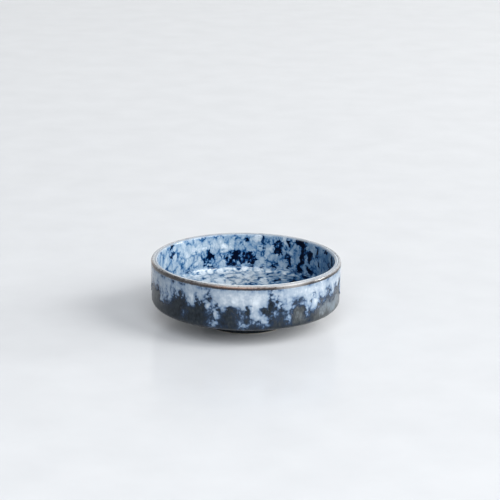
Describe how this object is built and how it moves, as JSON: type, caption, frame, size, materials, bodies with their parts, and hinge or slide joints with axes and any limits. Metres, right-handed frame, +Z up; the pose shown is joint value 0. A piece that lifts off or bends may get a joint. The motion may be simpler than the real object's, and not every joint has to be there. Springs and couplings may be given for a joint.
{
  "type": "soy sauce dish",
  "caption": "Small round straight-sided stoneware dish on a foot ring, with a mottled blue well and a pale glaze run over charcoal, for soy sauce or other condiments.",
  "frame": {"origin": "middle of the foot ring's resting face, on the table", "axes": "+Z up along the dish's axis of revolution, and the front of the dish in the picture faces -Y"},
  "size_m": [0.095, 0.095, 0.033],
  "materials": {
    "clay": "bare fired stoneware",
    "charcoal_glaze": "satin gloss",
    "pale_run_glaze": "gloss",
    "mottled_blue_glaze": "gloss",
    "iron_brown_glaze": "gloss"
  },
  "bodies": {
    "root": {"bowl_body": "clay", "foot_ring": "clay", "base_glaze": "charcoal_glaze", "outside_glaze": "pale_run_glaze", "inside_glaze": "mottled_blue_glaze", "rim_band": "iron_brown_glaze", "foot_well_glaze": "charcoal_glaze"}
  },
  "joints": []
}
